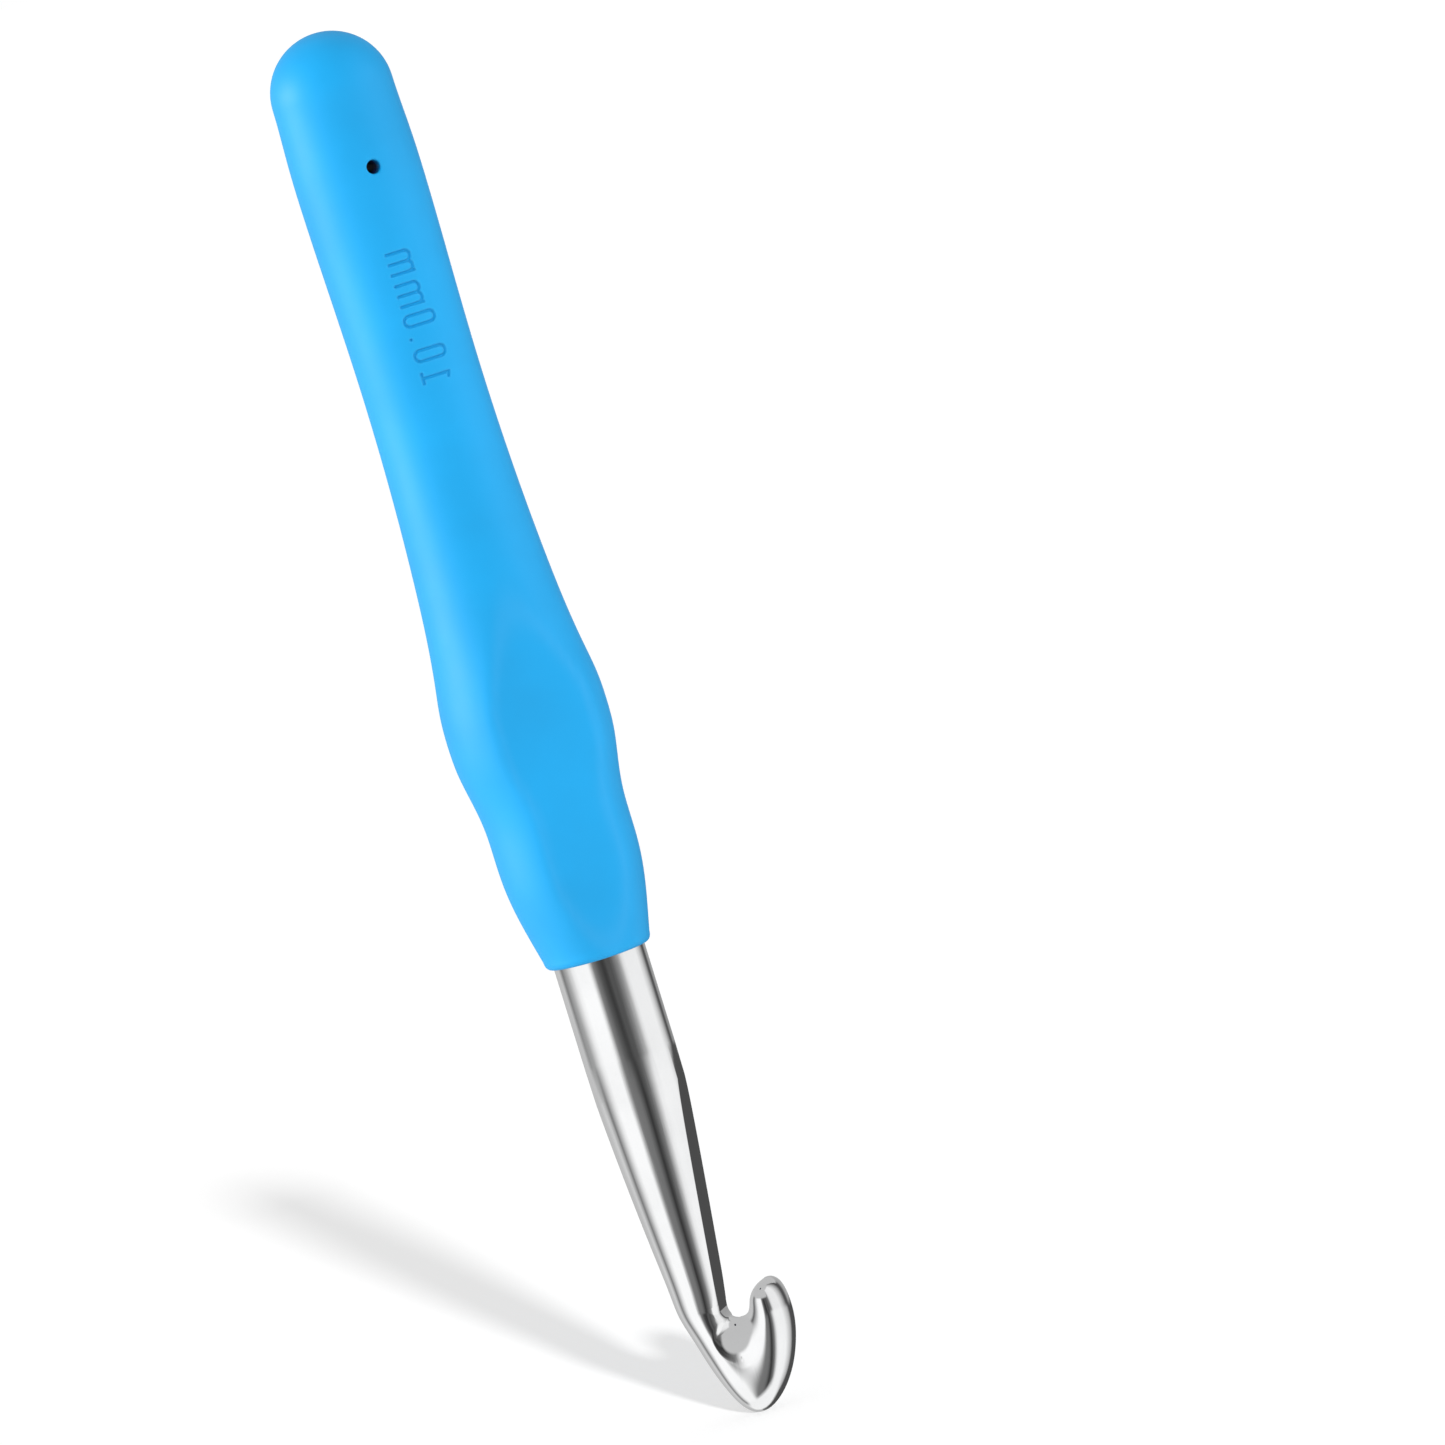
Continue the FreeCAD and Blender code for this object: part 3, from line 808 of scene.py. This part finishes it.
def grey(value):
    """An even grey of the given brightness."""
    return (value, value, value, 1.0)


def attribute(tree, name, share=1.0):
    """A share of one of the mesh's point attributes."""
    node = tree.nodes.new("ShaderNodeAttribute")
    node.attribute_name = name
    return math_node(tree, "MULTIPLY", node.outputs["Fac"], share)


def bump(tree, shader, height, strength):
    """Relief of the shader's surface from a height."""
    node = tree.nodes.new("ShaderNodeBump")
    node.inputs["Strength"].default_value = strength
    node.inputs["Distance"].default_value = RELIEF
    wire(tree, height, node.inputs["Height"])
    wire(tree, node.outputs["Normal"], shader.inputs["Normal"])


def polished_metal(groups, colour):
    """Polished aluminium: bright, nearly mirror smooth, faint lines along the shaft and a few smears."""
    mat, tree, shader, coords = new_material("Polished aluminium")
    shader.inputs["Metallic"].default_value = 1.0
    along = stretched(tree, coords, (1.0, 1.0, 0.05))
    lines = use_group(tree, groups["marks"], along, Smear_size=160.0, Line_size=2600.0)["Lines"]
    smears = use_group(tree, groups["marks"], coords, Smear_size=90.0, Line_size=1500.0)["Smears"]
    tint = blend_colour(tree, smears, shade(colour, 1.0), shade(colour, 0.93))
    wire(tree, tint, shader.inputs["Base Color"])
    rough = math_node(tree, "MULTIPLY", smears, 0.05)
    rough = math_node(tree, "ADD", rough, math_node(tree, "MULTIPLY", lines, 0.05))
    wire(tree, math_node(tree, "ADD", rough, METAL_ROUGH), shader.inputs["Roughness"])
    bump(tree, shader, lines, 0.05)
    return mat


def soft_blue(groups, colour):
    """Soft-touch moulded rubber: satin, very fine grain, paler on the rims, dust held in the sunk marking,
    and painted shade that darkens the marking's sunk strokes.
    """
    mat, tree, shader, coords = new_material("Soft-touch rubber")
    grain = use_group(tree, groups["grain"], coords, Size=5200.0, Mottle_size=60.0)
    marks = use_group(tree, groups["marks"], coords, Smear_size=70.0, Line_size=700.0)
    pale = shade(colour, 0.9, 0.1)
    mottle = remap(tree, grain["Mottle"], 0.35, 0.65, 0.0, 1.0)
    tint = blend_colour(tree, mottle, shade(colour, 1.0), shade(colour, 0.90))
    tint = blend_colour(tree, attribute(tree, "edge", 0.10), tint, pale)
    tint = blend_colour(tree, attribute(tree, "dust", 0.10), tint, pale)
    # Painted shade: the sunk strokes of the marking are darkened to 0.88 of the colour, standing in for the
    # shade in the grooves.
    tint = blend_colour(tree, attribute(tree, "sunk"), tint, shade(colour, 0.88))
    wire(tree, tint, shader.inputs["Base Color"])
    rough = math_node(tree, "MULTIPLY", marks["Smears"], 0.06)
    wire(tree, math_node(tree, "ADD", rough, RUBBER_ROUGH), shader.inputs["Roughness"])
    shader.inputs["Specular IOR Level"].default_value = RUBBER_SHINE
    bump(tree, shader, grain["Height"], 0.12)
    return mat


def core_plastic(groups):
    """Dark blue rigid plastic of the core, seen only down the cord hole."""
    mat, tree, shader, coords = new_material("Moulded core plastic")
    grain = use_group(tree, groups["grain"], coords, Size=3000.0, Mottle_size=150.0)
    tint = blend_colour(tree, grain["Mottle"], (0.008, 0.020, 0.110, 1.0), (0.012, 0.030, 0.150, 1.0))
    wire(tree, tint, shader.inputs["Base Color"])
    wire(tree, remap(tree, grain["Mottle"], 0.3, 0.7, 0.45, 0.6), shader.inputs["Roughness"])
    bump(tree, shader, grain["Height"], 0.15)
    return mat


def shared_groups():
    """The node groups, made once."""
    made = bpy.data.node_groups
    return {
        "grain": made.get("Fine grain") or grain_group(),
        "marks": made.get("Handling marks") or handling_group(),
    }


# ------------------------------------------------------------------ settings a user would change


class HookSettings(bpy.types.PropertyGroup):
    """What a user may change on the metal hook"""
    metal_colour: bpy.props.FloatVectorProperty(
        name="Metal colour", description="Colour of the polished metal", subtype="COLOR",
        size=3, default=(0.91, 0.915, 0.92), min=0.0, max=1.0,
    )


class GripSettings(bpy.types.PropertyGroup):
    """What a user may change on the soft grip"""
    grip_colour: bpy.props.FloatVectorProperty(
        name="Grip colour", description="Colour of the soft grip", subtype="COLOR",
        size=3, default=(0.003, 0.328, 0.70), min=0.0, max=1.0,
    )


class StudioSettings(bpy.types.PropertyGroup):
    """What a user may change in the studio"""
    distance: bpy.props.FloatProperty(
        name="Camera distance", description="From the camera to the hook", subtype="DISTANCE",
        unit="LENGTH", default=1.2, min=0.4, max=5.0,
    )
    lean: bpy.props.FloatProperty(
        name="Lean in the view", description="How far the hook's top leans to the left", subtype="ANGLE",
        unit="ROTATION", default=math.radians(17.1),
    )


class OBJECT_OT_metal_hook(bpy.types.Operator):
    """Build the polished metal hook"""
    bl_idname = "object.crochet_metal_hook"
    bl_label = "Metal hook"

    def execute(self, context):
        piece = make_mesh("metal_hook", *build_hook())
        colour = context.scene.crochet_hook.metal_colour
        piece.data.materials.append(polished_metal(shared_groups(), tuple(colour)))
        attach(piece, "root")
        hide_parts("hook")
        piece.visible_glossy = False
        return {"FINISHED"}


class OBJECT_OT_soft_grip(bpy.types.Operator):
    """Build the soft grip and give the core its finish"""
    bl_idname = "object.crochet_soft_grip"
    bl_label = "Soft grip"

    def execute(self, context):
        piece = make_mesh("soft_grip", *build_grip())
        colour = context.scene.crochet_grip.grip_colour
        piece.data.materials.append(soft_blue(shared_groups(), tuple(colour)))
        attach(piece, "root")
        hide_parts("grip")
        piece.visible_glossy = False
        core = frame["nodes"]["core"]
        core.data.materials.clear()
        core.data.materials.append(core_plastic(shared_groups()))
        return {"FINISHED"}


def toward(turn, height):
    """Unit vector towards a place at a turn about the hook and a height above level, both in degrees."""
    a, e = math.radians(turn), math.radians(height)
    return Vector((math.sin(a) * math.cos(e), -math.cos(a) * math.cos(e), math.sin(e)))


class OBJECT_OT_studio(bpy.types.Operator):
    """Build the floor, the lights and the camera"""
    bl_idname = "object.crochet_studio"
    bl_label = "Studio"

    def execute(self, context):
        scene = context.scene
        scene.view_settings.view_transform = "Standard"
        self.floor()
        self.room(scene)
        self.lamps(scene)
        self.camera(scene, scene.crochet_studio)
        return {"FINISHED"}

    def floor(self):
        """A pale table top level with the tip, that glows a little."""
        side = np.linspace(-TABLE_HALF, TABLE_HALF, TABLE_CELLS + 1)
        points = np.stack(np.broadcast_arrays(side[None, :], side[:, None], TABLE_Z), -1).reshape(-1, 3)
        table = make_mesh("table_top", points, grid_faces(TABLE_CELLS + 1, TABLE_CELLS + 1, False))
        mat, tree, shader, coords = new_material("Pale table")
        grain = use_group(tree, shared_groups()["grain"], coords, Size=400.0, Mottle_size=8.0)
        wire(tree, blend_colour(tree, grain["Mottle"], grey(0.86), grey(0.84)), shader.inputs["Base Color"])
        shader.inputs["Roughness"].default_value = 0.8
        shader.inputs["Specular IOR Level"].default_value = 0.0
        shader.inputs["Emission Color"].default_value = WHITE
        shader.inputs["Emission Strength"].default_value = TABLE_GLOW
        table.data.materials.append(mat)
        table.visible_glossy = False

    def room(self, scene):
        """A pale room: white behind the hook, even light, and panels and cards that only reflections see."""
        scene.world = bpy.data.worlds.new("Pale room")
        scene.world.use_nodes = True
        tree = scene.world.node_tree
        walls = tree.nodes["Background"]
        walls.inputs["Color"].default_value = WHITE
        walls.inputs["Strength"].default_value = ROOM
        cards = tree.nodes.new("ShaderNodeBackground")
        wire(tree, self.reflected(tree), cards.inputs["Color"])
        backdrop = tree.nodes.new("ShaderNodeBackground")
        backdrop.inputs["Color"].default_value = WHITE
        backdrop.inputs["Strength"].default_value = 1.0
        ray = tree.nodes.new("ShaderNodeLightPath")
        seen = walls
        for kind, shader in (("Is Glossy Ray", cards), ("Is Camera Ray", backdrop)):
            mix = tree.nodes.new("ShaderNodeMixShader")
            wire(tree, ray.outputs[kind], mix.inputs[0])
            wire(tree, seen.outputs[0], mix.inputs[1])
            wire(tree, shader.outputs[0], mix.inputs[2])
            seen = mix
        wire(tree, seen.outputs[0], tree.nodes["World Output"].inputs["Surface"])

    def reflected(self, tree):
        """Colour of the room in a reflection: panels and dark cards all round, a ceiling, and a white floor.

        The angle is measured from the camera's direction. The ceiling starts higher over the tall panel on
        the right, by a mask that rises and falls again with the angle.
        """
        way = tree.nodes.new("ShaderNodeTexCoord").outputs["Generated"]
        turned = tree.nodes.new("ShaderNodeMapping")
        turned.inputs["Rotation"].default_value = (0.0, 0.0, -math.radians(CAMERA_AZIMUTH))
        wire(tree, way, turned.inputs["Vector"])
        parts = tree.nodes.new("ShaderNodeSeparateXYZ")
        wire(tree, turned.outputs["Vector"], parts.inputs["Vector"])
        level = parts.outputs["Z"]
        front = math_node(tree, "MULTIPLY", parts.outputs["Y"], -1.0)
        angle = math_node(tree, "ARCTAN2", parts.outputs["X"], front)
        place = remap(tree, angle, -math.pi, math.pi, 0.0, 1.0)
        rings = []
        for panels in (STUDIO_LEVEL, STUDIO_LOW):
            ramp = tree.nodes.new("ShaderNodeValToRGB")
            wire(tree, place, ramp.inputs["Fac"])
            stops = ramp.color_ramp.elements
            for number, (turn, value) in enumerate(panels):
                stop = stops[number] if number < 2 else stops.new(1.0)
                stop.position = (turn + 180.0) / 360.0
                stop.color = grey(value)
            rings.append(ramp.outputs["Color"])
        rise = remap(tree, angle, 0.70, 0.96, 0.0, 0.5)
        raised = math_node(tree, "MULTIPLY", rise, remap(tree, angle, 2.2, 2.4, 1.0, 0.0))
        above = remap(tree, math_node(tree, "SUBTRACT", level, raised), 0.24, 0.34, 0.0, 1.0)
        below = remap(tree, level, -0.74, -0.86, 0.0, 1.0)
        colour = blend_colour(tree, remap(tree, level, -0.10, -0.135, 0.0, 1.0), *rings)
        colour = blend_colour(tree, above, colour, grey(CEILING))
        return blend_colour(tree, below, colour, WHITE)

    def lamps(self, scene):
        """Four soft lamps: one on the whole hook, two on the handle's sides, one for the table's shadow."""
        grip, hook, table = (bpy.data.objects[name] for name in ("soft_grip", "metal_hook", "table_top"))
        core = frame["nodes"]["core"]
        sets = {
            "handle": self.light_set("handle", grip, core),
            "whole_hook": self.light_set("whole_hook", grip, hook, core),
            "table": self.light_set("table", table),
            "metal": self.light_set("metal", hook),
        }
        for name, turn, height, strength, angle, lit, shaded_by in LAMPS:
            light = bpy.data.lights.new(name, "SUN")
            light.energy = strength
            light.angle = math.radians(angle)
            lamp = bpy.data.objects.new(name, light)
            scene.collection.objects.link(lamp)
            lamp.visible_glossy = name == "left_fill"
            lamp.light_linking.receiver_collection = sets[lit]
            lamp.light_linking.blocker_collection = sets.get(shaded_by)
            lamp.rotation_mode = "QUATERNION"
            lamp.rotation_quaternion = toward(CAMERA_AZIMUTH + turn, height).to_track_quat("Z", "Y")

    def light_set(self, name, *pieces):
        """A collection for a lamp to light, or to be shaded by."""
        group = bpy.data.collections.new(name)
        for piece in pieces:
            group.objects.link(piece)
        return group

    def camera(self, scene, settings):
        """Long lens, level with the hook, rolled so that the hook leans."""
        data = bpy.data.cameras.new("camera")
        cam = bpy.data.objects.new("camera", data)
        scene.collection.objects.link(cam)
        a = math.radians(CAMERA_AZIMUTH)
        back = toward(CAMERA_AZIMUTH, CAMERA_ELEVATION)
        right = Vector((math.cos(a), math.sin(a), 0.0))
        up = back.cross(right)
        lean = settings.lean
        aim = Vector((0.0, 0.0, COLLAR_Z * MM)) + right * AIM_RIGHT + up * AIM_UP
        data.sensor_width = SENSOR
        data.lens = SENSOR * settings.distance / VIEW_WIDTH
        data.clip_start = 0.05
        data.clip_end = 20.0
        cam.location = aim + back * settings.distance
        x_axis = right * math.cos(lean) - up * math.sin(lean)
        y_axis = right * math.sin(lean) + up * math.cos(lean)
        turn = Matrix((x_axis, y_axis, back)).transposed()
        cam.rotation_mode = "QUATERNION"
        cam.rotation_quaternion = turn.to_quaternion()
        scene.camera = cam


class VIEW3D_PT_crochet_hook(bpy.types.Panel):
    """Colours, view and build stages in the sidebar"""
    bl_label = "Crochet Hook"
    bl_idname = "VIEW3D_PT_crochet_hook"
    bl_space_type = "VIEW_3D"
    bl_region_type = "UI"
    bl_category = "Crochet Hook"

    def draw(self, context):
        layout = self.layout
        scene = context.scene
        layout.prop(scene.crochet_hook, "metal_colour")
        layout.prop(scene.crochet_grip, "grip_colour")
        layout.prop(scene.crochet_studio, "distance")
        layout.prop(scene.crochet_studio, "lean")
        for op in (OBJECT_OT_metal_hook, OBJECT_OT_soft_grip, OBJECT_OT_studio):
            layout.operator(op.bl_idname)


CLASSES = (
    HookSettings, GripSettings, StudioSettings,
    OBJECT_OT_metal_hook, OBJECT_OT_soft_grip, OBJECT_OT_studio, VIEW3D_PT_crochet_hook,
)


def register():
    for cls in CLASSES:
        bpy.utils.register_class(cls)
    bpy.types.Scene.crochet_hook = bpy.props.PointerProperty(type=HookSettings)
    bpy.types.Scene.crochet_grip = bpy.props.PointerProperty(type=GripSettings)
    bpy.types.Scene.crochet_studio = bpy.props.PointerProperty(type=StudioSettings)


def unregister():
    del bpy.types.Scene.crochet_studio
    del bpy.types.Scene.crochet_grip
    del bpy.types.Scene.crochet_hook
    for cls in reversed(CLASSES):
        bpy.utils.unregister_class(cls)


def main():
    register()
    bpy.ops.object.crochet_metal_hook()
    bpy.ops.object.crochet_soft_grip()
    bpy.ops.object.crochet_studio()


if __name__ == "__main__":
    main()
